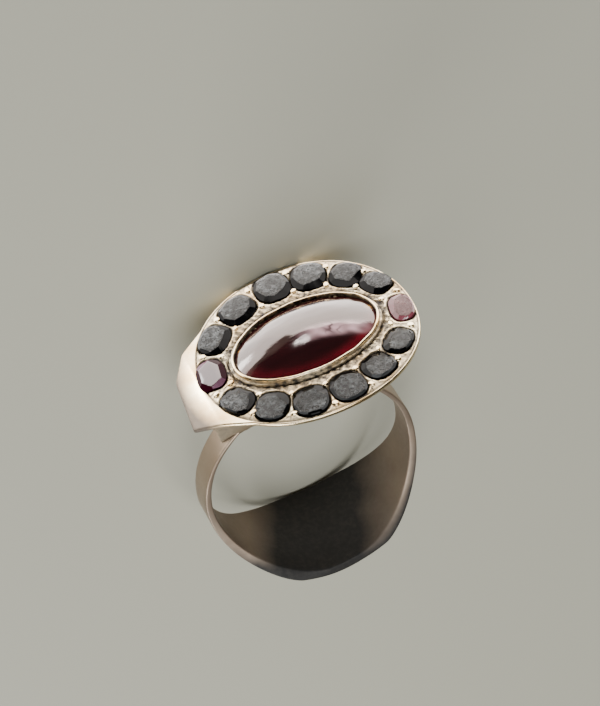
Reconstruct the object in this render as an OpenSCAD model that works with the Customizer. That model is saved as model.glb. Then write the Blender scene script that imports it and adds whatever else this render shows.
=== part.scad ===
// Cabochon ring: a long oval cabochon in a plain collar, a border of fourteen cut garnets,
// smooth shoulders and a thin band that widens towards its back.
// Worn axes: X across the finger, Y along it, Z from the middle of the finger hole to the face.
// The last step lays the ring on its side, as it rests by itself.

/* [Finger hole and band] */
// Radius of the finger hole
hole_r = 8.2; // [7.8:0.1:8.6]
// Thickness of the band at its two sides
band_t = 0.55; // [0.45:0.05:0.7]
// How much thicker the band is at its back than at its sides
back_extra = 0.3; // [0.1:0.05:0.4]
// Width of the band at its two sides
side_w = 2.4; // [2.2:0.1:3]
// Width of the band at its back
back_w = 8.9; // [8:0.1:9.4]
// Height from which the band starts to widen towards its back
flare_from = 1; // [0:0.1:2]

/* [Head] */
// Length of the oval face, across the finger
face_l = 17.1; // [16.9:0.1:17.5]
// Width of the oval face, along the finger
face_w = 15.8; // [15.6:0.1:16.2]
// Height of the face above the middle of the finger hole
face_h = 12.2; // [12:0.1:12.6]
// How far the face sits to one side of the band's middle
face_off = 2.5; // [2.2:0.1:2.8]
// Radius of the curve of the face along its length
curve_r = 90; // [80:1:120]
// Height of the face's thin edge
edge_h = 0.3; // [0.2:0.05:0.4]
// Reach of the long shoulder from the band's middle
shoulder_reach = 8; // [7.8:0.1:8.3]
// Width of the long shoulder's end
shoulder_end_w = 5.2; // [4.6:0.1:5.6]
// Drop of the long shoulder from its fold to its end
shoulder_drop = 0.75; // [0.5:0.05:0.9]

/* [Cabochon and collar] */
// Length of the cabochon
cabochon_l = 11.3; // [11:0.1:11.5]
// Width of the cabochon
cabochon_w = 7.1; // [6.8:0.1:7.3]
// Rise of the cabochon's dome above the face
cabochon_rise = 1.8; // [1.6:0.1:2.2]
// Thickness of the collar's wall
collar_t = 0.22; // [0.18:0.02:0.26]
// Height of the collar above the face
collar_h = 0.5; // [0.3:0.05:0.7]

/* [Garnets] */
// Rise of the garnets' flat tables above the face
table_rise = 0.36; // [0.3:0.02:0.5]
// Clearance between a stone and the metal
stone_gap = 0.04; // [0.03:0.01:0.06]
// Radius of the raised grains between the stones
grain_r = 0.32; // [0.26:0.02:0.36]

/* [Hidden] */
// Each garnet: its place round the border in degrees, its size along the border, its size across it
PLACE = 0;
ALONG = 1;
ACROSS = 2;
GARNETS = [
    [173, 3.15, 2.35],
    [142, 2.95, 2.45],
    [116, 2.95, 2.75],
    [ 91, 2.85, 3.05],
    [ 69, 2.84, 2.92],
    [ 46, 2.50, 2.65],
    [ 24, 2.55, 2.20],
    [352, 2.85, 1.95],
    [321, 2.65, 2.20],
    [298, 2.60, 2.60],
    [276, 2.72, 2.95],
    [254, 2.80, 2.90],
    [231, 2.62, 2.75],
    [207, 2.75, 2.35],
];

gold = [0.87, 0.72, 0.63];
wine_red = [0.32, 0.03, 0.07];
garnet_black = [0.10, 0.08, 0.09];

// Half sizes of the ovals: the middle line of the border, and the cabochon's seat
border_a = face_l / 2 - 1.0;
border_b = face_w / 2 - 1.7;
seat_depth = 0.9;
// The face is a little squarer than an ellipse, and a garnet's outline is a soft cushion
face_power = 2.12;
cushion_power = 2.7;
// Outer radius and centre of the band, which is thickest at its back
band_outer_r = hole_r + band_t;
band_outer_z = -back_extra;
back_reach = band_outer_r + back_extra;
// Radius of the hollow that narrows the band from its back up to its sides
flare = (back_w - side_w) / 2;
flare_drop = hole_r + flare_from;
waist_r = (flare_drop * flare_drop + flare * flare) / (2 * flare);
// The shoulder's fold, where its level part turns down to its end
fold_x = 1.9 - shoulder_reach;
fold_half_w = shoulder_end_w / 2 + 1.5;
end_edge_h = 0.35;
// The ring lies on the foot of its face's far edge and on the rim at its back
rest_z = face_h - edge_h;
lie_tilt = atan((face_w - back_w) / 2 / (rest_z + back_reach));
lie_height = face_w / 2 * cos(lie_tilt) - rest_z * sin(lie_tilt);
lie_front = face_h * cos(lie_tilt)
            + norm([cabochon_rise * cos(lie_tilt), cabochon_w / 2 * sin(lie_tilt)]);
lie_back = back_reach * cos(lie_tilt) + back_w / 2 * sin(lie_tilt);
lie_left = band_outer_r;
lie_right = face_off + face_l / 2;

// Height of the face at a distance along the finger hole's width
function face_z(x) = face_h - pow(x - face_off, 2) / (2 * curve_r);
// A point on an oval, squarer as the power grows above 2
function oval_point(a, b, t, power) =
    [a * sign(cos(t)) * pow(abs(cos(t)), 2 / power), b * sign(sin(t)) * pow(abs(sin(t)), 2 / power)];
function oval(a, b, power = 2, step = 7.5) = [for (t = [0 : step : 359]) oval_point(a, b, t, power)];

// A solid through sections with the same number of points, from the lowest up
module through(sections) {
    n = len(sections[0]);
    last = (len(sections) - 1) * n;
    polyhedron(
        points = [for (s = sections) each s],
        faces = concat(
            [[for (i = [0 : n - 1]) i]],
            [for (k = [0 : len(sections) - 2], i = [0 : n - 1])
                let (j = (i + 1) % n, low = k * n, high = low + n)
                each [[low + i, high + i, low + j], [low + j, high + i, high + j]]],
            [[for (i = [n - 1 : -1 : 0]) last + i]]),
        convexity = 6);
}

// The outline of face and long shoulder, each point with the height of its edge's foot
function head_outline() = concat(
    [for (t = [-138 : 6 : 138])
        let (p = oval_point(face_l / 2, face_w / 2, t, face_power), x = p[0] + face_off)
        [x, p[1], face_z(x) - edge_h]],
    [[fold_x, fold_half_w, face_z(fold_x) - edge_h],
     [-shoulder_reach, shoulder_end_w / 2, face_z(fold_x) - shoulder_drop - end_edge_h],
     [-shoulder_reach, -shoulder_end_w / 2, face_z(fold_x) - shoulder_drop - end_edge_h],
     [fold_x, -fold_half_w, face_z(fold_x) - edge_h]]);

// One section of the underside: the outline drawn in about its own middle, at one height
function tuck(height, middle, in_x, in_y) =
    let (centre = (lie_right - shoulder_reach) / 2)
    [for (p = head_outline()) [middle + in_x * (p[0] - centre), in_y * p[1], height]];

// The solid under the face: a thin edge, an undercut side, and a foot that runs into the band
module head_block() {
    intersection() {
        through([
            tuck(5.8, 0, 0.62, 0.2),
            tuck(8.6, 0.4, 0.7, 0.36),
            tuck(10.2, 0.8, 0.86, 0.68),
            head_outline(),
            [for (p = head_outline()) [p[0], p[1], face_h + 1]]
        ]);
        translate([face_off, 0, face_h - curve_r])
            rotate([90, 0, 0]) cylinder(r = curve_r, h = face_w + 2, center = true, $fn = 720);
    }
}

// What is cut off above the shoulder's slope
module shoulder_slope() {
    run = fold_x + shoulder_reach;
    rotate([90, 0, 0])
        linear_extrude(height = face_w, center = true)
            polygon([
                [fold_x, face_z(fold_x)],
                [fold_x - 2 * run, face_z(fold_x) - 2 * shoulder_drop],
                [fold_x - 2 * run, face_h + 2],
                [fold_x, face_h + 2]
            ]);
}

// A thin tube, narrow at its sides and wide at its back
module band() {
    intersection() {
        translate([0, 0, band_outer_z])
            rotate([90, 0, 0]) cylinder(r = band_outer_r, h = back_w, center = true, $fn = 240);
        rotate([90, 0, 90])
            linear_extrude(height = 4 * hole_r, center = true)
                difference() {
                    square([back_w, 4 * hole_r], center = true);
                    for (side = [-1, 1]) {
                        translate([side * (side_w / 2 + waist_r), flare_from]) circle(r = waist_r, $fn = 360);
                        translate([side * (side_w / 2 + waist_r), flare_from + waist_r])
                            square(2 * waist_r, center = true);
                    }
                }
    }
}

// The collar round the cabochon, which follows the curve of the face
module collar() {
    a = cabochon_l / 2 + stone_gap + collar_t;
    b = cabochon_w / 2 + stone_gap + collar_t;
    intersection() {
        translate([face_off, 0, face_h - seat_depth])
            linear_extrude(height = seat_depth + 1) polygon(oval(a, b));
        translate([face_off, 0, face_h - curve_r])
            rotate([90, 0, 0]) cylinder(r = curve_r + collar_h, h = face_w, center = true, $fn = 720);
    }
}

// Puts its children on the face, square to its curve, at a place given from the face's middle
module on_face(x, y, turn = 0) {
    translate([face_off, 0, face_h - curve_r])
        rotate([0, asin(x / curve_r), 0])
            translate([0, y, curve_r])
                rotate([0, 0, turn]) children();
}

// Puts its children at one garnet's place on the border, with X across the border
module at_garnet(g) {
    t = g[PLACE];
    on_face(border_a * cos(t), border_b * sin(t), atan2(sin(t) / border_b, cos(t) / border_a)) children();
}

// A cushion outline at a height, drawn in by a share of its size
function cushion(g, grow, share, height) =
    [for (p = oval((g[ACROSS] / 2 + grow) * share, (g[ALONG] / 2 + grow) * share, cushion_power, 30))
        [p[0], p[1], height]];

// A table-cut garnet: a steep crown, a thin girdle and a shallow cut back
module garnet(g) {
    color(garnet_black)
        at_garnet(g)
            through([
                cushion(g, 0, 0.45, -0.6),
                cushion(g, 0, 1, -0.05),
                cushion(g, 0, 1, 0.1),
                cushion(g, 0, 0.93, table_rise * 0.7),
                cushion(g, 0, 0.8, table_rise)
            ]);
}

// The room that a garnet takes in the metal, open upwards
module garnet_seat(g) {
    at_garnet(g)
        through([
            cushion(g, stone_gap, 0.45, -0.6 - stone_gap),
            cushion(g, stone_gap, 1, -0.05 - stone_gap),
            cushion(g, stone_gap, 1, 2)
        ]);
}

// Raised grains between neighbouring garnets, an outer and an inner one at each gap
module grains() {
    count = len(GARNETS);
    for (i = [0 : count - 1]) {
        here = GARNETS[i][PLACE];
        next = GARNETS[(i + 1) % count][PLACE];
        t = here - (here - next + 360) % 360 / 2;
        for (ring = [[border_a + 0.5, border_b + 1.05], [border_a - 1.0, border_b - 1.2]])
            on_face(ring[0] * cos(t), ring[1] * sin(t)) sphere(r = grain_r, $fn = 24);
    }
}

// All the soldered metal in one solid
module ring_body() {
    color(gold)
        difference() {
            union() {
                band();
                difference() {
                    head_block();
                    shoulder_slope();
                }
                collar();
                grains();
            }
            rotate([90, 0, 0]) cylinder(r = hole_r, h = 3 * face_w, center = true, $fn = 240);
            translate([face_off, 0, face_h - seat_depth])
                linear_extrude(height = 4)
                    polygon(oval(cabochon_l / 2 + stone_gap, cabochon_w / 2 + stone_gap));
            for (g = GARNETS) garnet_seat(g);
        }
}

// A long oval dome with a short upright foot inside the collar
module cabochon() {
    a = cabochon_l / 2;
    b = cabochon_w / 2;
    foot = stone_gap - seat_depth;
    color(wine_red)
        translate([face_off, 0, face_h])
            through(concat(
                [[for (p = oval(a, b)) [p[0], p[1], foot]]],
                [for (lift = [0 : 12 : 84])
                    [for (p = oval(a * cos(lift), b * cos(lift)))
                        [p[0], p[1], cabochon_rise * sin(lift)]]]));
}

// Lays the worn ring on its side, on its far edge and the rim at its back, centred over the origin
module laid_down() {
    translate([(lie_right - lie_left) / 2, (lie_front - lie_back) / 2, lie_height])
        rotate([-lie_tilt, 0, 0])
            rotate([90, 180, 0]) children();
}

laid_down() ring_body();
laid_down() cabochon();
for (i = [1 : len(GARNETS)])
    laid_down() garnet(GARNETS[i - 1]);
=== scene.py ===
import math

import bpy
import numpy as np
from mathutils import Matrix, Vector


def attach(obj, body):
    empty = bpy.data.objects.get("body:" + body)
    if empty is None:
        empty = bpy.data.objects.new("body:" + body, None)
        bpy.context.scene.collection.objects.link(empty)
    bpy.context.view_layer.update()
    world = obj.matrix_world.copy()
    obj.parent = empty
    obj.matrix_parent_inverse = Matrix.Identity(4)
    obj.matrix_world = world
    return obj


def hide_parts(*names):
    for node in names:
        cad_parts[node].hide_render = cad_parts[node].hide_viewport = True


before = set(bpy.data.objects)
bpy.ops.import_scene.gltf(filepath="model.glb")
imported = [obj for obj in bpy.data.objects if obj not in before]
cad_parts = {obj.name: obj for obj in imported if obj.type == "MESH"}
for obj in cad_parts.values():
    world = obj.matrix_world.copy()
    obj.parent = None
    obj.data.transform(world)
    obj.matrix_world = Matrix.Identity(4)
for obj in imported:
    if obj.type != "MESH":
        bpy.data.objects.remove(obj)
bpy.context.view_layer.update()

# Band
# A strip of low-carat rose gold bent into a hoop and soldered under the head.
# It is narrow and thin at its sides, wide and thicker at its back. Its inside is
# painted brown and dull with dirt and painted shade, darkest at the back, and the
# rim there carries painted shade too.

# Sizes in millimetres. Those of the face and the cabochon stand here too, because the ring lies on the
# edge of its face and the edge of its back, tilted by the slope from one to the other.
MM = 0.001
HOLE_R = 8.2
BAND_T, BAND_CORNER = 0.55, 0.13
BACK_EXTRA = 0.3
SIDE_W, BACK_W, FLARE_FROM = 2.4, 8.9, 1.0
FACE_L, FACE_W, FACE_H, FACE_OFF = 17.1, 15.8, 12.2, 2.5
EDGE_H = 0.3
BACK_REACH = HOLE_R + BAND_T + BACK_EXTRA
CABOCHON_L, CABOCHON_W, CABOCHON_RISE = 11.3, 7.1, 1.8
LIE_TILT = math.atan((FACE_W - BACK_W) / 2 / (FACE_H - EDGE_H + BACK_REACH))
LIE_COS, LIE_SIN = math.cos(LIE_TILT), math.sin(LIE_TILT)
LIE_FRONT = FACE_H * LIE_COS + math.hypot(CABOCHON_RISE * LIE_COS, CABOCHON_W / 2 * LIE_SIN)
LIE_BACK = BACK_REACH * LIE_COS + BACK_W / 2 * LIE_SIN
LIE_AT = np.array([
    (FACE_OFF + FACE_L / 2 - HOLE_R - BAND_T) / 2,
    (LIE_FRONT - LIE_BACK) / 2,
    FACE_W / 2 * LIE_COS - (FACE_H - EDGE_H) * LIE_SIN,
])


def turned(worn):
    """Directions from the worn axes (x across the finger, y along it, z from the hole to the face) to
    the lying ring's: half a turn, a quarter turn, then the tilt."""
    x, y, z = -worn[..., 0], -worn[..., 2], -worn[..., 1]
    return np.stack([x, y * LIE_COS + z * LIE_SIN, z * LIE_COS - y * LIE_SIN], -1)


def laid_down(worn):
    """Points from the worn axes in millimetres to the lying ring's place in metres."""
    return (turned(worn) + LIE_AT) * MM


def waves(x, y, size, seed, count=9):
    """A smooth noise from about -1 to 1: twice the mean of sines in seeded directions, all about one
    wavelength, the size."""
    draw = np.random.default_rng(seed)
    turn = draw.uniform(0, 2 * np.pi, count)
    number = 2 * np.pi / size * draw.uniform(0.6, 1.5, count)
    start = draw.uniform(0, 2 * np.pi, count)
    total = sum(
        np.sin(number[i] * (x * np.cos(turn[i]) + y * np.sin(turn[i])) + start[i]) for i in range(count))
    return total / count * 2


def grid_faces(rows, cols, loop):
    """Corners of the four-sided faces of a grid whose rows close; loop closes its columns as well."""
    row = np.arange(rows if loop else rows - 1)[:, None]
    col = np.arange(cols)[None, :]
    up, over = (row + 1) % rows, (col + 1) % cols
    corners = [row * cols + col, row * cols + over, up * cols + over, up * cols + col]
    return np.stack(np.broadcast_arrays(*corners), -1).reshape(-1, 4)


def closed_grid(points, loop=False):
    """Places and faces of a closed skin on a grid of points in worn millimetres, outside outwards.
    Its rows close; its columns close too with loop, or end in a middle point at both ends."""
    rows, cols = points.shape[:2]
    flat = points.reshape(-1, 3)
    quads = grid_faces(rows, cols, loop)
    ends = np.zeros((0, 3), int)
    if not loop:
        flat = np.vstack([flat, points[0].mean(0), points[-1].mean(0)])
        col = np.arange(cols)
        over = (col + 1) % cols
        last_row, middles = (rows - 1) * cols, rows * cols
        ends = np.vstack([
            np.stack([over, col, np.full(cols, middles)], -1),
            np.stack([last_row + col, last_row + over, np.full(cols, middles + 1)], -1)])
    places = laid_down(flat)
    tris = np.vstack([quads[:, [0, 1, 2]], quads[:, [0, 2, 3]], ends])
    a, b, c = (places[tris[:, i]] - places.mean(0) for i in range(3))
    if np.einsum("ij,ij->", a, np.cross(b, c)) < 0:
        quads, ends = quads[:, ::-1], ends[:, ::-1]
    return places, quads, ends


def new_piece(name, places, faces, smooth=True):
    """A piece at the origin, with its places in its mesh."""
    mesh = bpy.data.meshes.new(name)
    mesh.from_pydata(places.tolist(), [], faces)
    mesh.polygons.foreach_set("use_smooth", np.full(len(mesh.polygons), smooth))
    mesh.update()
    piece = bpy.data.objects.new(name, mesh)
    bpy.context.scene.collection.objects.link(piece)
    return piece


def surface(name, points, loop=False, smooth=True):
    """A piece of one closed grid."""
    places, quads, ends = closed_grid(points, loop)
    return new_piece(name, places, quads.tolist() + ends.tolist(), smooth)


def paint(piece, name, values):
    """One number for each point of a piece, such as how much dirt and painted shade lies there. The middle
    points at its ends get the mean of their row."""
    values = np.asarray(values, float)
    flat = values.ravel()
    if len(piece.data.vertices) > len(flat):
        flat = np.append(flat, [values[0].mean(), values[-1].mean()])
    layer = piece.data.attributes.new(name, "FLOAT", "POINT")
    layer.data.foreach_set("value", flat.astype(np.float32))


def linear(colour):
    """An sRGB hex colour as the linear colour that the shaders take."""
    parts = [int(colour[i:i + 2], 16) / 255 for i in (1, 3, 5)]
    return [p / 12.92 if p <= 0.04045 else ((p + 0.055) / 1.055) ** 2.4 for p in parts] + [1.0]


def add(tree, kind, inputs=(), **settings):
    """Adds a node with its settings and links. Inputs come by name or number, or as a list in the node's
    own order, and each gets a value, an output, or the first output of another node."""
    node = tree.nodes.new(kind)
    for name, value in settings.items():
        setattr(node, name, value)
    for place, value in inputs.items() if isinstance(inputs, dict) else enumerate(inputs):
        if isinstance(value, bpy.types.Node):
            value = value.outputs[0]
        if isinstance(value, bpy.types.NodeSocket):
            tree.links.new(value, node.inputs[place])
        else:
            node.inputs[place].default_value = value
    return node


def empty_material(name):
    """A material with an empty node tree, to be filled with a finish."""
    made = bpy.data.materials.new(name)
    made.use_nodes = True
    made.node_tree.nodes.clear()
    return made, made.node_tree


def worn_gold(name, bright, warm, dirt_and_shade_colour, rough_low, rough_high, speckle, scratched):
    """Cast and filed low-carat rose gold, polished once and rubbed by wear: a soft gloss with warmer
    cloudy patches about 2.4 mm wide, specks of 0.4 mm and fine scratches 0.7 mm long, a dull grey film
    of painted shade, and dark dirt with painted shade, where painted. A colour Mix node takes its share
    at input 0 and its colours at 6 and 7, and gives the blend at output 2."""
    made, tree = empty_material(name)
    place = add(tree, "ShaderNodeTexCoord").outputs["Object"]
    cloud = add(tree, "ShaderNodeTexNoise", {"Vector": place, "Scale": 420.0, "Detail": 4.0})
    speck = add(tree, "ShaderNodeTexNoise", {
        "Vector": place, "Scale": 2600.0, "Detail": 5.0, "Roughness": 0.6})
    painted = add(tree, "ShaderNodeAttribute", attribute_name="dirt_and_shade").outputs["Fac"]
    uneven = add(tree, "ShaderNodeMapRange", [speck, 0.3, 0.7, 1 - speckle, 1 + speckle / 2])
    dirt_and_shade = add(tree, "ShaderNodeMath", [painted, uneven], operation="MULTIPLY", use_clamp=True)
    shade_layer = add(tree, "ShaderNodeAttribute", attribute_name="shade_film").outputs["Fac"]
    warmth = add(tree, "ShaderNodeMapRange", [cloud, 0.35, 0.68, 0, 1])
    clean = add(tree, "ShaderNodeMix", {
        0: warmth, 6: linear(bright), 7: linear(warm)}, data_type="RGBA").outputs[2]
    # Painted shade: a dull grey-brown film where the shade film is painted.
    metal = add(tree, "ShaderNodeMix", {
        0: shade_layer, 6: clean, 7: linear("#6d645b")}, data_type="RGBA").outputs[2]
    # Dirt and painted shade darken the metal where painted.
    colour = add(tree, "ShaderNodeMix", {
        0: dirt_and_shade, 6: metal, 7: linear(dirt_and_shade_colour)}, data_type="RGBA").outputs[2]
    rubbed = add(tree, "ShaderNodeMapRange", [speck, 0.3, 0.75, rough_low, rough_high])
    covered = add(tree, "ShaderNodeMath", [dirt_and_shade, shade_layer], operation="MAXIMUM")
    dulled = add(tree, "ShaderNodeMapRange", [covered, 0, 1, 0, 0.4])
    drawn = add(tree, "ShaderNodeMapping", {"Vector": place, "Scale": (1.0, 1.0, 9.0)})
    scratch = add(tree, "ShaderNodeTexNoise", {"Vector": drawn, "Scale": 1500.0, "Detail": 3.0})
    shader = add(tree, "ShaderNodeBsdfPrincipled", {
        "Base Color": colour,
        "Metallic": add(tree, "ShaderNodeMapRange", [dirt_and_shade, 0, 1, 1.0, 0.25]),
        "Roughness": add(tree, "ShaderNodeMath", [rubbed, dulled], operation="ADD"),
        "Normal": add(tree, "ShaderNodeBump", {
            "Height": scratch, "Strength": scratched, "Distance": 0.00003})})
    add(tree, "ShaderNodeOutputMaterial", {"Surface": shader})
    return made


def keep(piece, material):
    """The piece gets its finish and its place on the one body."""
    piece.data.materials.append(material)
    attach(piece, "root")


def strip_section(steps):
    """A rectangle with round corners, as the side and height of each point's corner and its reach into
    the round: four quarter turns, with straight steps up the two long sides between them."""
    quarter = np.linspace(0, np.pi / 2, 5)
    rung = 1 - 2 * np.arange(1, steps) / steps
    parts = []
    for k, (side, height) in enumerate([(1, 1), (-1, 1), (-1, -1), (1, -1)]):
        turn = quarter + k * np.pi / 2
        parts.append([0 * turn + side, 0 * turn + height, np.cos(turn), np.sin(turn)])
        if k in (1, 3):
            parts.append([0 * rung + side, height * rung, 0 * rung + side, 0 * rung])
    return [part[None, :] for part in np.hstack(parts)]


def band_points():
    """The hoop: a round-cornered section between the hole and an outer circle set a little towards the
    back. Its half width follows a hollow arc that widens below the hole's middle, up to the back's.
    Also each point's angle round the hoop, its side (-1 inside) and its place along the finger."""
    angle = np.linspace(0, 2 * np.pi, 480, endpoint=False)[:, None]
    outer = np.sqrt((HOLE_R + BAND_T) ** 2 - (BACK_EXTRA * np.sin(angle)) ** 2) - BACK_EXTRA * np.cos(angle)
    side, height, round_side, round_height = strip_section(steps=14)
    reach = (HOLE_R + outer) / 2 + side * ((outer - HOLE_R) / 2 - BAND_CORNER) + round_side * BAND_CORNER
    z = reach * np.cos(angle)
    flare = (BACK_W - SIDE_W) / 2
    longest = HOLE_R + FLARE_FROM
    arc = (longest ** 2 + flare ** 2) / (2 * flare)
    low = np.clip(FLARE_FROM - z, 0, longest)
    flared, blend = SIDE_W / 2 + arc - np.sqrt(arc ** 2 - low ** 2), 0.16
    half_w = BACK_W / 2 + blend * (0.02 - np.logaddexp(0, (BACK_W / 2 - flared) / blend))
    half_w = half_w - 0.035 * (1 + waves(angle * 9, angle * 0 + height, 6.0, 3))
    y = height * (half_w - BAND_CORNER) + round_height * BAND_CORNER
    return np.stack([reach * np.sin(angle), y, z], -1), np.degrees(angle), side * np.ones_like(z), y


def between(value, low_from, low_to, high_from, high_to):
    """One from low_to to high_from, and down to zero in a straight line on both sides."""
    rising = np.clip((value - low_from) / (low_to - low_from), 0, 1)
    return rising * np.clip((high_to - value) / (high_to - high_from), 0, 1)


points, around, wall, along_finger = band_points()
band = surface("band", points, loop=True)
streaks = waves(np.radians(around) * 3.4, along_finger * 0.35, 1.6, 5)
inside = np.clip(-wall, 0, 1)
# Painted shade: the inside is made darker round the back of the hoop.
back_shade = between(around + 3.0 * along_finger, 122, 162, 207, 227)
near_rim = np.exp(-((along_finger - along_finger.min(1, keepdims=True)) / 0.5) ** 4)
# Painted shade: the rim along one edge is darkened round the back of the hoop.
rim_shade = near_rim * (
    0.8 * between(around, 85, 130, 212, 245) + 0.3 * between(around, 205, 225, 262, 300))
# Dirt and painted shade: the inside is kept darker than the outside all round.
paint(band, "dirt_and_shade", np.clip(
    inside * (0.5 + 0.54 * back_shade + 0.03 * streaks)
    + (1 - inside) * (0.28 + 0.06 * streaks + rim_shade), 0, 1))
# The band's gold is a darker, greyer copy of the head's gold: painted shade.
shaded_band_gold = worn_gold("worn rose gold of the band", "#b2a08c", "#a8937e", "#141311", 0.24, 0.32, 0.02, 0.05)
keep(band, shaded_band_gold)

# Head and long shoulder
# One block of the same gold under the face: an oval plate with a thin upright
# edge, drawn in below to a foot on the band, and on one side a smooth shoulder
# that a cut line parts from the oval. The border is cut out for the garnets.

# Each garnet's angle on the border in degrees, and its length and width, clockwise in the photo.
GARNETS = np.array([
    [173, 3.15, 2.35], [142, 2.95, 2.45], [116, 2.95, 2.75], [91, 2.85, 3.05], [69, 2.84, 2.92],
    [46, 2.50, 2.65], [24, 2.55, 2.20], [352, 2.85, 1.95], [321, 2.65, 2.20], [298, 2.60, 2.60],
    [276, 2.72, 2.95], [254, 2.80, 2.90], [231, 2.62, 2.75], [207, 2.75, 2.35]])
CURVE_R = 90.0
BORDER_A, BORDER_B = FACE_L / 2 - 1.0, FACE_W / 2 - 1.7
SHOULDER_REACH, SHOULDER_END_W, SHOULDER_DROP = 8.0, 5.2, 0.75
FOLD_RUN = 1.9
FOLD_X = FOLD_RUN - SHOULDER_REACH
FOLD_HALF_W = SHOULDER_END_W / 2 + 1.5
FACE_POWER, CUSHION_POWER = 2.12, 2.7
# The cut line's depth inside the oval, the edge's rounding, and the trough's place outside the stone.
CUT_IN, EDGE_ROUND, TROUGH_OUT = 0.16, 0.09, 0.42
# The undercut's sections below the edge: height, shift of the middle, and shares of length and width.
UNDERCUT = ((10.2, 0.8, 0.86, 0.68), (8.6, 0.4, 0.70, 0.36), (5.8, 0.0, 0.62, 0.20))
FOOT_R = HOLE_R + 0.02


def face_z(x):
    """The plate's height: the top of a wide circle over the face's middle."""
    return FACE_H - (x - FACE_OFF) ** 2 / (2 * CURVE_R)


def oval(a, b, t, power=2.0):
    """An ellipse's points, squarer as the power grows above 2."""
    c, s = np.cos(t), np.sin(t)
    return a * np.sign(c) * abs(c) ** (2 / power), b * np.sign(s) * abs(s) ** (2 / power)


def oval_reach(angle, a, b, power=2.0):
    """How far that oval's edge lies from its middle, in each direction."""
    return (abs(np.cos(angle) / a) ** power + abs(np.sin(angle) / b) ** power) ** (-1 / power)


def garnet_places():
    """Each garnet's middle on the face, and its turn outwards from the border's middle line."""
    t = np.radians(GARNETS[:, 0])
    return BORDER_A * np.cos(t), BORDER_B * np.sin(t), np.arctan2(np.sin(t) / BORDER_B, np.cos(t) / BORDER_A)


def off_stones(x, y):
    """Distance from a point of the face to the nearest garnet's cushion outline, less than 0 inside it."""
    nearest = np.full(np.shape(x), 99.0)
    for px, py, turn, (_, along, wide) in zip(*garnet_places(), GARNETS):
        u = (x - px) * np.cos(turn) + (y - py) * np.sin(turn)
        v = (y - py) * np.cos(turn) - (x - px) * np.sin(turn)
        size = abs(u / (wide / 2)) ** CUSHION_POWER + abs(v / (along / 2)) ** CUSHION_POWER
        nearest = np.minimum(nearest, (size ** (1 / CUSHION_POWER) - 1) * min(wide, along) / 2)
    return nearest


def outline_reach(angle):
    """How far the outline of face and shoulder lies from the face's middle, in each direction: the oval,
    joined by straight lines to the shoulder's corners, softened by a moving mean."""
    t = np.radians(np.linspace(-138, 138, 553))
    oval_x, oval_y = oval(FACE_L / 2, FACE_W / 2, t, FACE_POWER)
    corner_x = np.array([FOLD_X, 0.55 - SHOULDER_REACH, -SHOULDER_REACH, FOLD_X]) - FACE_OFF
    corner_y = np.array([FOLD_HALF_W, SHOULDER_END_W / 2 - 0.3, -SHOULDER_END_W / 2, -FOLD_HALF_W])
    x, y = np.append(oval_x, [*corner_x, oval_x[0]]), np.append(oval_y, [*corner_y, oval_y[0]])
    walk = np.append(0, np.cumsum(np.hypot(np.diff(x), np.diff(y))))
    even = np.linspace(0, walk[-1], 4000, endpoint=False)
    x, y = np.interp(even, walk, x), np.interp(even, walk, y)
    kernel = np.hanning(61) / np.hanning(61).sum()
    soft = [np.convolve(np.concatenate([v[-30:], v, v[:30]]), kernel, "valid") for v in (x, y)]
    turn = np.arctan2(soft[1], soft[0])
    order = np.argsort(turn)
    return np.interp(angle, turn[order], np.hypot(*soft)[order], period=2 * np.pi)


def plate_work(x, y, angle, reach, cut):
    """Height and darkening of the border as the graver left it: a trough round the collar, a raised bead
    round each stone, waves of tool marks between, seats sunk under the stones, and dirt with painted
    shade in all of the low places, in short cuts across the rim and in the cut line."""
    off = off_stones(x, y)
    past_trough = reach - oval_reach(angle, CABOCHON_L / 2 + TROUGH_OUT, CABOCHON_W / 2 + TROUGH_OUT)
    trough = np.exp(-(past_trough / 0.16) ** 2)
    near_collar = np.clip(1.15 - past_trough / 0.75, 0, 1)
    rim = np.clip((cut - reach) / 0.35, 0, 1)
    work = (waves(x, y, 0.55, 11) * 0.04 + waves(x, y, 0.25, 12) * 0.024) * (0.5 + near_collar)
    bead = 0.05 * np.exp(-((off - 0.13) / 0.06) ** 2) * (1 + waves(x, y, 0.7, 17))
    metal = rim * ((0.05 + work) * np.clip(off / 0.16, 0, 1) ** 0.5 + bead) - 0.14 * trough * rim
    seat = np.clip(0.2 - off / 0.06, 0, 1)
    relief = np.where(reach < cut, metal - 0.45 * seat, 0)
    low_spots = np.clip(0.5 - 15 * (work + bead - 0.02 + 0.008 * waves(x, y, 0.16, 14)), 0, 1)
    cuts = np.clip(waves(angle * 9, reach * 0.25, 0.32, 16) * 1.8 - 0.75, 0, 1)
    # Dirt and painted shade: darkest next to each stone, in the trough and in the low spots near the collar.
    grime_and_shade = np.clip(
        0.95 * np.exp(-(np.clip(off, 0, 9) / 0.07) ** 2) + 0.85 * trough
        + near_collar * (0.15 + 0.75 * low_spots)
        + (1 - near_collar) * (0.35 * low_spots + 0.5 * cuts), 0, 1)
    in_cut = 0.75 * np.exp(-((reach - cut) / 0.06) ** 2)
    return relief, np.maximum(np.where(reach < cut, grime_and_shade, 0), in_cut)


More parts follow.
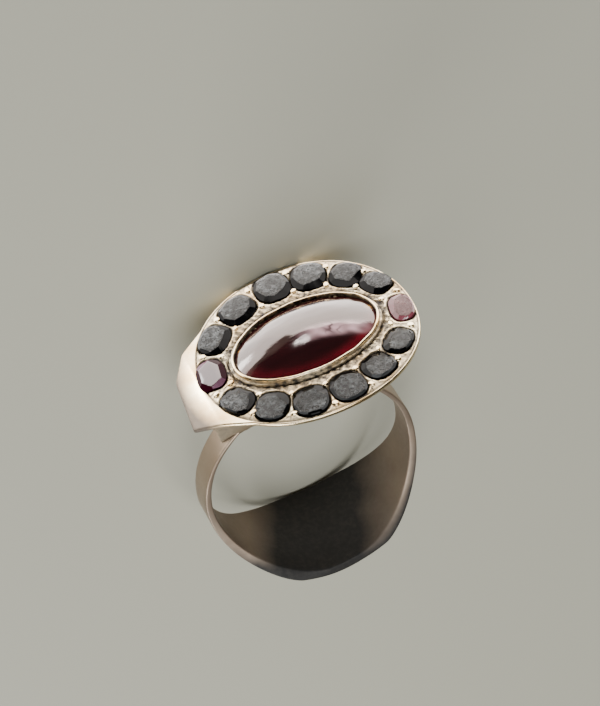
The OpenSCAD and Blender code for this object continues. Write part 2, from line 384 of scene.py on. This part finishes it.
def under_points(foot):
    """The head below its edge: the sections joined by straight steps, none of them inside the hole, and
    the last one shrunk to its middle on the hole's wall."""
    middle_x = (FACE_OFF + FACE_L / 2 - SHOULDER_REACH) / 2
    x, y = foot[:, 0], foot[:, 1]
    sections = [foot] + [
        np.stack([shift + long * (x - middle_x), wide * y, np.full_like(x, height)], -1)
        for height, shift, long, wide in UNDERCUT]
    keys = np.array(sections)
    steps = np.linspace(0, 3, 25)[1:]
    lower = np.minimum(steps.astype(int), 2)
    blend = (steps - lower)[:, None, None]
    under = keys[lower] * (1 - blend) + keys[lower + 1] * blend
    shrink = np.linspace(1, 0.03, 13)[1:, None]
    cap_x, cap_y = keys[-1, :, 0] * shrink, keys[-1, :, 1] * shrink
    rows = np.concatenate([under, np.stack([cap_x, cap_y, np.sqrt(FOOT_R ** 2 - cap_x ** 2)], -1)])
    push = np.maximum(FOOT_R / np.hypot(rows[..., 0], rows[..., 2]), 1)
    rows[..., 0] *= push
    rows[..., 2] *= push
    return rows


def head_points():
    """Rings about the face's middle: the plate out to the cut line, the shoulder or rim out to the
    outline, its rounded and upright edge, and the undercut. Past the fold the shoulder drops in a
    straight slope. Also the dirt with painted shade, and the grey film of painted shade, at each point."""
    angle = np.linspace(-np.pi, np.pi, 640, endpoint=False)[None, :]
    out = outline_reach(angle)
    cut = oval_reach(angle, FACE_L / 2 - CUT_IN, FACE_W / 2 - CUT_IN, FACE_POWER)
    under_collar = oval_reach(angle, CABOCHON_L / 2 - 0.6, CABOCHON_W / 2 - 0.6)
    plate = under_collar + (cut - under_collar) * np.linspace(0, 1, 84)[:, None]
    beyond = cut + (out - EDGE_ROUND - cut) * np.linspace(0.04, 1, 24)[:, None]
    reach = np.vstack([under_collar * 0.3, plate, beyond])
    x, y = reach * np.cos(angle), reach * np.sin(angle)
    relief, grime_and_shade = plate_work(x, y, angle, reach, cut)
    on_shoulder = np.clip((out - cut - 0.2) / 0.4, 0, 1)
    groove = 0.12 * np.exp(-((reach - cut) / 0.07) ** 2) * (0.35 + 0.65 * on_shoulder)
    slope, bend = SHOULDER_DROP / FOLD_RUN, 0.07
    drop = slope * bend * np.logaddexp(0, (FOLD_X - (x + FACE_OFF)) / bend)
    top = np.stack([x + FACE_OFF, y, face_z(x + FACE_OFF) - drop + relief - groove], -1)
    edge_x, edge_y = out * np.cos(angle) + FACE_OFF, out * np.sin(angle)
    edge_z = face_z(edge_x) - slope * np.clip(FOLD_X - edge_x, 0, 9)
    turn = np.linspace(0.25, 1, 4)[:, None] * np.pi / 2
    back = EDGE_ROUND * (1 - np.sin(turn))
    rounded = np.stack([
        edge_x - back * np.cos(angle), edge_y - back * np.sin(angle),
        edge_z - EDGE_ROUND * (1 - np.cos(turn))], -1)
    foot = np.stack([edge_x, edge_y, edge_z - EDGE_H], -1)
    under = under_points(foot[0])
    # Painted shade: a grey film over the shoulder past the fold, and over the whole undercut beneath the
    # head.
    shade_film = np.clip((out - cut - 0.5) / 0.8, 0, 1) * np.clip((reach - cut - 0.4) / 1.3, 0, 1)
    edge_rows = (len(rounded) + 1, 1)
    dirt_and_shade = np.vstack([
        grime_and_shade, np.tile(0 * out, edge_rows), 0.14 + 0.08 * waves(under[..., 0], under[..., 1], 4.0, 31)])
    shade_layer = np.vstack([shade_film, np.tile(shade_film[-1:], edge_rows), np.full(under.shape[:2], 0.6)])
    return np.concatenate([top, rounded, foot, under]), np.clip(dirt_and_shade, 0, 1), shade_layer


points, grime_and_shade, shade_layer = head_points()
head = surface("head_and_shoulder", points)
# Dirt with painted shade in the low places of the plate.
paint(head, "dirt_and_shade", 1 - (1 - grime_and_shade) ** 2.5)
paint(head, "shade_film", shade_layer)
head_gold = worn_gold("worn rose gold of the head", "#ecddba", "#cfae7c", "#1c120b", 0.2, 0.3, 0.4, 0.04)
keep(head, head_gold)
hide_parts("ring_body")

# Collar
# A thin upright strip of gold round the cabochon, rubbed over its edge by hand,
# with a lower ledge outside it that shows as a second line.

# The section's points: outwards from the stone, and up from the plate.
COLLAR_SECTION = np.array([
    [0.0, -0.45], [0.0, 0.05], [-0.01, 0.28], [-0.025, 0.40], [0.01, 0.47], [0.07, 0.495], [0.135, 0.47],
    [0.175, 0.40], [0.19, 0.28], [0.20, 0.19], [0.23, 0.165], [0.30, 0.17], [0.36, 0.145], [0.395, 0.08],
    [0.40, 0.0], [0.40, -0.45]])


def collar_points():
    """An ellipse carried round with a section of two steps, a wall that leans in at its top and a ledge,
    moved square to the ellipse; its height and lean waver slowly. Also each point's place in the section."""
    angle = np.linspace(0, 2 * np.pi, 400, endpoint=False)[:, None]
    out, up = COLLAR_SECTION[None, :, 0], COLLAR_SECTION[None, :, 1]
    up = up + np.clip(up, 0, 1) * (0.10 * waves(angle * 4.8, angle * 0, 2.3, 41) - 0.08)
    a, b = CABOCHON_L / 2 + 0.03, CABOCHON_W / 2 + 0.03
    normal_x, normal_y = np.cos(angle) * b, np.sin(angle) * a
    length = np.hypot(normal_x, normal_y)
    lean = 0.02 * waves(angle * 4.8, angle * 0 + 3, 1.4, 42) * np.clip(up, 0, 1)
    x = a * np.cos(angle) + (out + lean) * normal_x / length + FACE_OFF
    y = b * np.sin(angle) + (out + lean) * normal_y / length
    return np.stack([x, y, face_z(x) + up], -1), out, up


points, out, up = collar_points()
collar = surface("collar", points, loop=True)
x, y = points[..., 0], points[..., 1]
rubbed = 0.3 * waves(x, y, 0.9, 43) + 0.15 * waves(x, y, 0.3, 44)
# Dirt and painted shade: the collar darkens the lower it stands, towards the plate and the stone.
grime_and_shade = np.clip(np.where(out < 0.03, 0.95 - up * 1.1, 0.85 - up * 2.6) + rubbed, 0, 1)
paint(collar, "dirt_and_shade", 1 - (1 - grime_and_shade) ** 2.5)
keep(collar, head_gold)

# Grains
# Small beads raised from the plate with a graver between the garnets, an outer
# and an inner one at each gap, to hold the stones; wear has flattened them.

GRAIN_H, GRAIN_FLAT = 0.30, 0.21
# The outer and the inner grains: how far off the border's middle line, along and across it, and size.
GRAIN_ROWS = ((0.42, 1.0, 0.30), (-0.95, -1.15, 0.27))


def on_face(x, y, up):
    """Points at a height square to the curve of the face, from places given from its middle."""
    bend = x / CURVE_R
    return np.stack([
        FACE_OFF + (CURVE_R + up) * bend, y + 0 * up,
        FACE_H - CURVE_R + (CURVE_R + up) * np.sqrt(1 - bend ** 2)], -1)


def grain_shapes():
    """Worn beads halfway between neighbours: a ball squashed to uneven half sizes and turned, with its
    top planed off at a slight slope."""
    draw = np.random.default_rng(7)
    lift = np.linspace(-0.4 * np.pi, 0.46 * np.pi, 8)[:, None]
    turn = np.linspace(0, 2 * np.pi, 14, endpoint=False)[None, :]
    shapes = []
    for here, following in zip(GARNETS[:, 0], np.roll(GARNETS[:, 0], -1)):
        t = math.radians(here - (here - following) % 360 / 2)
        for off_a, off_b, size in GRAIN_ROWS:
            x, y = (BORDER_A + off_a) * math.cos(t), (BORDER_B + off_b) * math.sin(t)
            long, short = size * draw.uniform(0.9, 1.15), size * draw.uniform(0.65, 0.95)
            tilt = draw.uniform(0, 3)
            c, s = math.cos(tilt), math.sin(tilt)
            u, v = long * np.cos(lift) * np.cos(turn), short * np.cos(lift) * np.sin(turn)
            up = np.minimum(GRAIN_H * np.sin(lift) + 0 * turn, GRAIN_FLAT + 0.1 * u)
            shapes.append(on_face(x + u * c - v * s, y + u * s + v * c, up))
    return shapes


def many(name, shapes):
    """A piece of many small closed grids, joined end to end."""
    places, faces, start = [], [], 0
    for shape in shapes:
        part, quads, ends = closed_grid(shape)
        places.append(part)
        faces += (quads + start).tolist() + (ends + start).tolist()
        start += len(part)
    return new_piece(name, np.vstack(places), faces)


grains = many("grains", grain_shapes())
keep(grains, head_gold)

# Garnets
# Fourteen table-cut garnets, nearly black, with broad tables that wear has
# frosted and pitted. One at the left end is clear wine red and one at the
# right end is milky pink. Each is set down in its own seat.

GARNET_IOR = 1.78
CLEAR_STONE, MILKY_STONE = 1, 8
# Bands of faces up a garnet's back and girdle, its crown and its table. The two fans, at the back's
# middle and at the table's, come after them.
BACK_BANDS, CROWN_BANDS, TABLE_BANDS = 3, 2, 2


def garnet_points(along, wide, draw, clear):
    """Rings of a cushion outline: a shallow back, a thin girdle, a crown of flat facets and a faintly
    domed table set outwards. The table is a polygon with a side for each facet, six on the clear stone
    and eight to ten on the others, its corners worn in unevenly. A facet is nearly a plane, because its
    girdle points lie lower the further they are from its table edge. Also how chipped each point may be,
    and each face's painted sheen: none, or a pale painted reflection on some facets, most of them on the
    outer side, and on two opposite sides of the clear stone."""
    sides = 6 if clear else int(draw.integers(8, 11))
    step = 2 * np.pi / sides
    turn = draw.uniform(0, step) + np.arange(4 * sides) * step / 4
    u, v = oval(1.0, 1.0, turn, draw.uniform(2.25, CUSHION_POWER))
    swell = np.cos(2 * turn + draw.uniform(0, 6)) + np.cos(3 * turn + draw.uniform(0, 6))
    uneven = 1 - 0.03 * (1 + 0.5 * swell)
    outline = np.stack([u * uneven * wide / 2, v * uneven * along / 2], -1)
    girdle = outline * 0.975
    inner_wear, outer_wear = draw.uniform(0.62, 0.9, sides), draw.uniform(0.96, 1.02, sides)
    wear = np.where(np.cos(turn[::4]) < -0.3, inner_wear, outer_wear)
    if clear:
        wear = 0.85 + 0.4 * abs(np.sin(turn[::4]))
    shift = np.array([draw.uniform(0.02, 0.06), 0])
    table = 0.7 if clear else draw.uniform(0.86, 0.91)
    part = (np.arange(4 * sides) % 4 / 4)[:, None]

    def along_sides(start, end):
        """Four even steps along each side, from its start to its end."""
        return np.repeat(start, 4, 0) * (1 - part) + np.repeat(end, 4, 0) * part

    corner = outline[::4] * wear[:, None] * table
    side = np.roll(corner, -1, 0) - corner
    table_edge = along_sides(corner, corner + side)
    outwards = np.stack([side[:, 1], -side[:, 0]], -1) / np.hypot(side[:, :1], side[:, 1:])
    off = ((girdle - np.repeat(corner, 4, 0)) * np.repeat(outwards, 4, 0)).sum(-1, keepdims=True)
    off_start = ((girdle[::4] - corner) * outwards).sum(-1, keepdims=True)
    off_end = ((np.roll(girdle[::4], -1, 0) - corner) * outwards).sum(-1, keepdims=True)
    shared = (off_start + np.roll(off_end, 1, 0)) / 2
    off = (off + along_sides(shared - off_start, np.roll(shared, -1, 0) - off_end))[:, 0]
    girdle_height = np.clip(0.235 - 0.19 * off / off.max(), 0.045, 0.2)
    rings = [
        (outline * 0.45, -0.6, 1.0), (outline, -0.05, 1.0), (outline * 0.995, 0.04, 1.0),
        (girdle, girdle_height, 1.0), (table_edge * 1.02 + shift, 0.235, 1.0),
        (table_edge + shift, 0.25, 1.0), (table_edge * 0.9 + shift, 0.27, 0.9),
        (table_edge * 0.5 + shift, 0.3, 0.6)]
    level = np.ones(4 * sides)
    rows = np.array([np.column_stack([place, height * level]) for place, height, _ in rings])
    chipped = np.array([share * level for _, _, share in rings])
    # Painted sheen: pale colour on facets that would catch the light, mostly those facing outwards.
    catching = draw.uniform(-0.5, 1, sides) + np.cos(turn[2::4]) > 0.6
    painted_sheen = np.where(catching, draw.uniform(0.15, 0.7, sides), 0)
    if clear:
        painted_sheen = np.where(abs(np.sin(turn[2::4])) > 0.85, 0.9, 0)
    painted_sheen = np.repeat(painted_sheen, 4)
    facet_sheen = np.concatenate([
        np.tile(0 * painted_sheen, BACK_BANDS), np.tile(painted_sheen, CROWN_BANDS), np.tile(0 * painted_sheen, TABLE_BANDS + 2)])
    return rows, chipped, facet_sheen


def table_material(name, low, high, deep, rough, pits, gloss):
    """Almandine garnet whose table wear has frosted to an uneven grey, in grains of 0.4 mm under clouds
    of 1 mm, and chipped with pits about a tenth of a millimetre across, so that it glints here and
    there. Glossy flakes of 0.5 mm have broken from it where its edge is painted."""
    made, tree = empty_material(name)
    place = add(tree, "ShaderNodeTexCoord").outputs["Object"]
    frost = add(tree, "ShaderNodeTexNoise", {
        "Vector": place, "Scale": 2600.0, "Detail": 6.0, "Roughness": 0.8})
    cell = add(tree, "ShaderNodeTexVoronoi", {"Vector": place, "Scale": 4200.0}, feature="F1")
    pitted = add(tree, "ShaderNodeMath", [
        add(tree, "ShaderNodeMapRange", [cell, 0.14, 0.34, 1, 0]),
        add(tree, "ShaderNodeMapRange", [frost, 0.46, 0.56, 0, 1])], operation="MULTIPLY", use_clamp=True)
    edge = add(tree, "ShaderNodeAttribute", attribute_name="edge").outputs["Fac"]
    flake = add(tree, "ShaderNodeTexNoise", {
        "Vector": place, "Scale": 2100.0, "Detail": 4.0, "Roughness": 0.65})
    ragged = add(tree, "ShaderNodeMath", [
        edge, add(tree, "ShaderNodeMapRange", [flake, 0.35, 0.65, -0.5, 0.5])], operation="ADD")
    chipped = add(tree, "ShaderNodeMapRange", [ragged, 0.85, 0.95, 0, 1])
    cloud = add(tree, "ShaderNodeTexNoise", {"Vector": place, "Scale": 900.0, "Detail": 1.0})
    grain = add(tree, "ShaderNodeMath", [
        add(tree, "ShaderNodeMapRange", [frost, 0.46, 0.62, 0, 1]),
        add(tree, "ShaderNodeMapRange", [cloud, 0.38, 0.62, 0.35, 1.0])], operation="MULTIPLY")
    frosted = add(tree, "ShaderNodeMix", {
        0: grain, 6: linear(low), 7: linear(high)}, data_type="RGBA").outputs[2]
    broken = add(tree, "ShaderNodeMath", [pitted, chipped], operation="MAXIMUM")
    colour = add(tree, "ShaderNodeMix", {
        0: broken, 6: frosted, 7: linear(deep)}, data_type="RGBA").outputs[2]
    lost = add(tree, "ShaderNodeMath", [chipped, flake, pitted], operation="MULTIPLY_ADD")
    height = add(tree, "ShaderNodeMath", [frost, lost], operation="SUBTRACT")
    rubbed = add(tree, "ShaderNodeMapRange", [
        grain, 0, 1, rough * (1 + 0.5 * pits), rough * (1 - 0.3 * pits)])
    shader = add(tree, "ShaderNodeBsdfPrincipled", {
        "Base Color": colour,
        "Roughness": add(tree, "ShaderNodeMapRange", [chipped, 0, 1, rubbed, 0.12]),
        "IOR": GARNET_IOR,
        "Specular IOR Level": gloss,
        "Normal": add(tree, "ShaderNodeBump", {"Height": height, "Strength": pits, "Distance": 0.0003})})
    add(tree, "ShaderNodeOutputMaterial", {"Surface": shader})
    return made


def facet_material(name, deep, painted_sheen, gloss, tint="#ffffff"):
    """Almandine garnet cut and polished on a lap: glassy, and so dark that most facets look black, with a
    pale painted reflection in smears of 0.6 mm on those given a painted sheen."""
    made, tree = empty_material(name)
    place = add(tree, "ShaderNodeTexCoord").outputs["Object"]
    facet_sheen = add(tree, "ShaderNodeAttribute", attribute_name="facet_sheen").outputs["Fac"]
    smear = add(tree, "ShaderNodeTexNoise", {"Vector": place, "Scale": 1800.0, "Detail": 3.0})
    share = add(tree, "ShaderNodeMath", [
        facet_sheen, add(tree, "ShaderNodeMapRange", [smear, 0.3, 0.7, 0.6, 1.2])],
        operation="MULTIPLY", use_clamp=True)
    shader = add(tree, "ShaderNodeBsdfPrincipled", {
        "Base Color": add(tree, "ShaderNodeMix", {
            0: share, 6: linear(deep), 7: linear(painted_sheen)}, data_type="RGBA").outputs[2],
        "Roughness": add(tree, "ShaderNodeMapRange", [smear, 0.3, 0.7, 0.04, 0.1]),
        "IOR": GARNET_IOR,
        "Specular IOR Level": gloss,
        "Specular Tint": linear(tint)})
    add(tree, "ShaderNodeOutputMaterial", {"Surface": shader})
    return made


dark_stone = (
    table_material("dark garnet table, frosted", "#020303", "#5d6163", "#020202", 0.24, 0.9, 0.115),
    facet_material("dark garnet facets", "#030304", "#4c4e50", 0.03))
red_stone = (
    table_material("wine-red garnet table", "#2c0712", "#380b19", "#2a030c", 0.05, 0.05, 0.42),
    facet_material("wine-red garnet facets", "#1d020a", "#5e4252", 0.03, "#6a3440"))
pink_stone = (
    table_material("milky pink garnet table", "#4e3233", "#705150", "#501824", 0.34, 0.5, 0.12),
    facet_material("milky pink garnet facets", "#501824", "#8a5560", 0.2))
draw = np.random.default_rng(19)
for number, ((_, along, wide), px, py, turn) in enumerate(zip(GARNETS, *garnet_places()), 1):
    shape, chipped, facet_sheen = garnet_points(along, wide, draw, number == CLEAR_STONE)
    u, v = shape[..., 0], shape[..., 1]
    lean = (0, 0) if number == MILKY_STONE else draw.uniform(-0.03, 0.03, 2)
    stone = surface(f"cut_garnet_{number}", on_face(
        px + u * math.cos(turn) - v * math.sin(turn), py + u * math.sin(turn) + v * math.cos(turn),
        shape[..., 2] + lean[0] * u + lean[1] * v), smooth=False)
    whole = number in (CLEAR_STONE, MILKY_STONE)
    down = -1.0 if whole else -(u * math.sin(turn) + v * math.cos(turn)) / (wide / 2)
    paint(stone, "edge", chipped + 0.34 * (down - 0.9))
    facet_sheen_layer = stone.data.attributes.new("facet_sheen", "FLOAT", "FACE")
    facet_sheen_layer.data.foreach_set("value", facet_sheen.astype(np.float32))
    table, facets = {CLEAR_STONE: red_stone, MILKY_STONE: pink_stone}.get(number, dark_stone)
    keep(stone, table)
    stone.data.materials.append(facets)
    band_faces = shape.shape[1]
    table_from = (BACK_BANDS + CROWN_BANDS) * band_faces
    is_facet = np.ones(len(stone.data.polygons), int)
    is_facet[table_from:table_from + TABLE_BANDS * band_faces] = 0
    is_facet[-band_faces:] = 0
    stone.data.polygons.foreach_set("material_index", is_facet)
    stone.data.polygons.foreach_set("use_smooth", is_facet == 0)
    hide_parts(f"garnet_{number}")

# Cabochon
# A long oval dome of deep wine-red garnet, polished smooth, in the collar. Its
# body is almost black, with a painted red glow along one lower edge, where light
# would shine through it, and small flaws.

# Rust-brown flaws near the two ends: place on the face, from its middle, and size.
FLAWS = ((5.25, 0.15, 0.3), (-4.83, 1.36, 0.14))


def cabochon_points():
    """An upright foot, then a shallow dome: each ring is an ellipse that shrinks evenly, and its height
    is the rise times one less the square of its share, with the slight waves of hand polishing."""
    turn = np.linspace(0, 2 * np.pi, 240, endpoint=False)[None, :]
    share = np.linspace(1, 0.01, 90)[:, None]
    a, b = CABOCHON_L / 2, CABOCHON_W / 2
    foot = np.stack([a * np.cos(turn), b * np.sin(turn), np.full_like(turn, -0.86)], -1)
    x, y = a * share * np.cos(turn), b * share * np.sin(turn)
    polish = waves(x, y, 2.6, 61) * 0.02 + waves(x * 0.6, y, 0.9, 62) * 0.007
    polish = polish * (1 - share ** 8) * np.clip(share * 4, 0, 1)
    dome = np.stack([x, y, CABOCHON_RISE * (1 - share ** 2) * 0.995 + polish], -1)
    return np.concatenate([foot, dome]) + [FACE_OFF, 0, FACE_H]


def cabochon_material():
    """Almandine garnet, domed and polished: a glassy gloss with fine streaks of 0.4 mm across, over a
    deep body with a painted red glow, broken by darker veils about 1 mm wide and longer along the stone,
    a milky feather and rust."""
    made, tree = empty_material("polished wine-red garnet")
    place = add(tree, "ShaderNodeTexCoord").outputs["Object"]
    painted_glow = add(tree, "ShaderNodeAttribute", attribute_name="painted_glow").outputs["Fac"]
    feather = add(tree, "ShaderNodeAttribute", attribute_name="feather").outputs["Fac"]
    rust = add(tree, "ShaderNodeAttribute", attribute_name="rust").outputs["Fac"]
    drawn = add(tree, "ShaderNodeMapping", {"Vector": place, "Scale": (0.35, 1.0, 1.6)})
    veil = add(tree, "ShaderNodeTexNoise", {"Vector": drawn, "Scale": 900.0, "Detail": 5.0})
    lit = add(tree, "ShaderNodeMath", [
        painted_glow, add(tree, "ShaderNodeMapRange", [veil, 0.3, 0.7, 0.55, 1.3])],
        operation="MULTIPLY", use_clamp=True)
    # The painted red glow lightens the deep body where it is painted.
    body = add(tree, "ShaderNodeMix", {
        0: lit, 6: linear("#0e0305"), 7: linear("#6c0a1c")}, data_type="RGBA").outputs[2]
    milky = add(tree, "ShaderNodeMix", {
        0: feather, 6: body, 7: linear("#bd9ca2")}, data_type="RGBA").outputs[2]
    colour = add(tree, "ShaderNodeMix", {
        0: rust, 6: milky, 7: linear("#7a5420")}, data_type="RGBA").outputs[2]
    long_drawn = add(tree, "ShaderNodeMapping", {"Vector": place, "Scale": (0.12, 1.0, 1.0)})
    streak = add(tree, "ShaderNodeTexNoise", {"Vector": long_drawn, "Scale": 2600.0, "Detail": 3.0})
    shader = add(tree, "ShaderNodeBsdfPrincipled", {
        "Base Color": colour,
        "Roughness": add(tree, "ShaderNodeMapRange", [veil, 0.3, 0.7, 0.07, 0.16]),
        "IOR": GARNET_IOR,
        "Specular Tint": linear("#fff4ee"),
        "Normal": add(tree, "ShaderNodeBump", {"Height": streak, "Strength": 0.4, "Distance": 0.00003})})
    add(tree, "ShaderNodeOutputMaterial", {"Surface": shader})
    return made


def spot(u, v, at_u, at_v, size):
    """A round spot that fades from its middle: one there, less than a half at its size."""
    return np.exp(-((u - at_u) ** 2 + (v - at_v) ** 2) / size ** 2)


points = cabochon_points()
dome = surface("cabochon_dome", points)
u, v = points[..., 0] - FACE_OFF, points[..., 1]
height = np.clip((points[..., 2] - FACE_H) / CABOCHON_RISE, 0, 1)
near = np.clip(-v / (CABOCHON_W / 2), 0, 1)
low_down = np.exp(-((height - 0.13) / 0.14) ** 2)
# Painted glow: red light painted into the body low along the near edge, as if shining through the stone.
paint(dome, "painted_glow", np.clip(0.06 + near * (0.75 + 0.06 * u) * low_down, 0, 1))
patch = np.exp(-((v + 1.15 + 0.12 * u) / 0.5) ** 4) * np.exp(-((u - 2.1) / 2.3) ** 4)
crack = np.exp(-(waves(u + v, (v - u) * 0.5, 0.9, 63) / 0.16) ** 2) * spot(u, v, 1.9, -1.3, math.sqrt(0.5))
feather = patch * (0.8 + 0.3 * waves(u, v * 2, 1.2, 64)) * (1 - 0.9 * crack)
paint(dome, "feather", np.clip(feather, 0, 1))
rust = sum(spot(u, v, *flaw) for flaw in FLAWS)
paint(dome, "rust", np.clip(rust * 1.3 - 0.2, 0, 1))
keep(dome, cabochon_material())
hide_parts("cabochon")

# Studio
# The camera stands at the photo's angle to the ring, above the floor. Low soft
# panels in front of the face light the stones and the plate, and wide ones
# above and behind light the pale floor and the band.

# Where the camera stands, and its right, up and back directions, in the worn axes.
CAMERA_AT = np.array([-28.84, -141.946, 160.676])
CAMERA_AXES = np.array([
    [0.90314, -0.38823, -0.18334], [0.40342, 0.6212, 0.67184], [-0.14693, -0.68073, 0.71765]])
FLOOR_HALF = 1.5

camera = bpy.data.objects.new("camera", bpy.data.cameras.new("camera"))
bpy.context.scene.collection.objects.link(camera)
columns = np.column_stack([*turned(CAMERA_AXES), laid_down(CAMERA_AT)])
camera.matrix_world = Matrix([*columns.tolist(), (0, 0, 0, 1)])
camera.data.sensor_width = 36
camera.data.lens = 2800 / 706 * 36
camera.data.clip_start, camera.data.clip_end = 0.01, 10
bpy.context.scene.camera = camera


def floor_material():
    """Painted board: a pale grey-green matt paint with a faint cloudiness, in clouds of 70 mm."""
    made, tree = empty_material("pale matt paint")
    place = add(tree, "ShaderNodeTexCoord").outputs["Object"]
    cloud = add(tree, "ShaderNodeTexNoise", {"Vector": place, "Scale": 14.0, "Detail": 2.0})
    colour = add(tree, "ShaderNodeMix", {
        0: cloud, 6: linear("#9c9b8c"), 7: linear("#a2a191")}, data_type="RGBA").outputs[2]
    shader = add(tree, "ShaderNodeBsdfPrincipled", {"Base Color": colour, "Roughness": 0.6})
    add(tree, "ShaderNodeOutputMaterial", {"Surface": shader})
    return made


corners = np.array([[-1, -1, 0], [1, -1, 0], [1, 1, 0], [-1, 1, 0]]) * FLOOR_HALF
floor = new_piece("floor", corners, [(0, 1, 2, 3)], smooth=False)
floor.data.materials.append(floor_material())


def panel(name, at, towards, width, depth, power, colour="#ffffff"):
    """A soft rectangular light at a place, facing another, unseen by the camera itself."""
    light = bpy.data.lights.new(name, "AREA")
    light.shape, light.size, light.size_y = "RECTANGLE", width, depth
    light.energy, light.color = power, linear(colour)[:3]
    made = bpy.data.objects.new(name, light)
    bpy.context.scene.collection.objects.link(made)
    facing = (Vector(towards) - Vector(at)).to_track_quat("-Z", "Y")
    made.matrix_world = Matrix.Translation(at) @ facing.to_matrix().to_4x4()
    made.visible_camera = False


panel("low panel", (-0.043, -0.06, 0.0004), (-0.043, -0.06, 1.0), 0.094, 0.1, 0.25, "#fff8f2")
panel("low side panel", (0.027, -0.023, 0.0004), (0.027, -0.023, 1.0), 0.046, 0.026, 0.028, "#fffaf6")
panel("small low lamp", (0.0122, -0.0182, 0.0005), (0.0122, -0.0182, 1.0), 0.006, 0.004, 0.0014)
panel("small front lamp", (-0.007, -0.3, 0.06), (0.0, -0.01, 0.008), 0.03, 0.014, 0.05)
panel("high panel", (0.1, 0.05, 0.5), (0.0, 0.0, 0.0), 0.5, 0.4, 4.0)
panel("back side panel", (0.12, 0.12, 0.07), (0.0, 0.0, 0.0), 0.1, 0.06, 0.22)
world = bpy.data.worlds.new("studio")
world.use_nodes = True
background = world.node_tree.nodes["Background"].inputs
background["Color"].default_value = linear("#8f8f8a")
background["Strength"].default_value = 0.25
bpy.context.scene.world = world
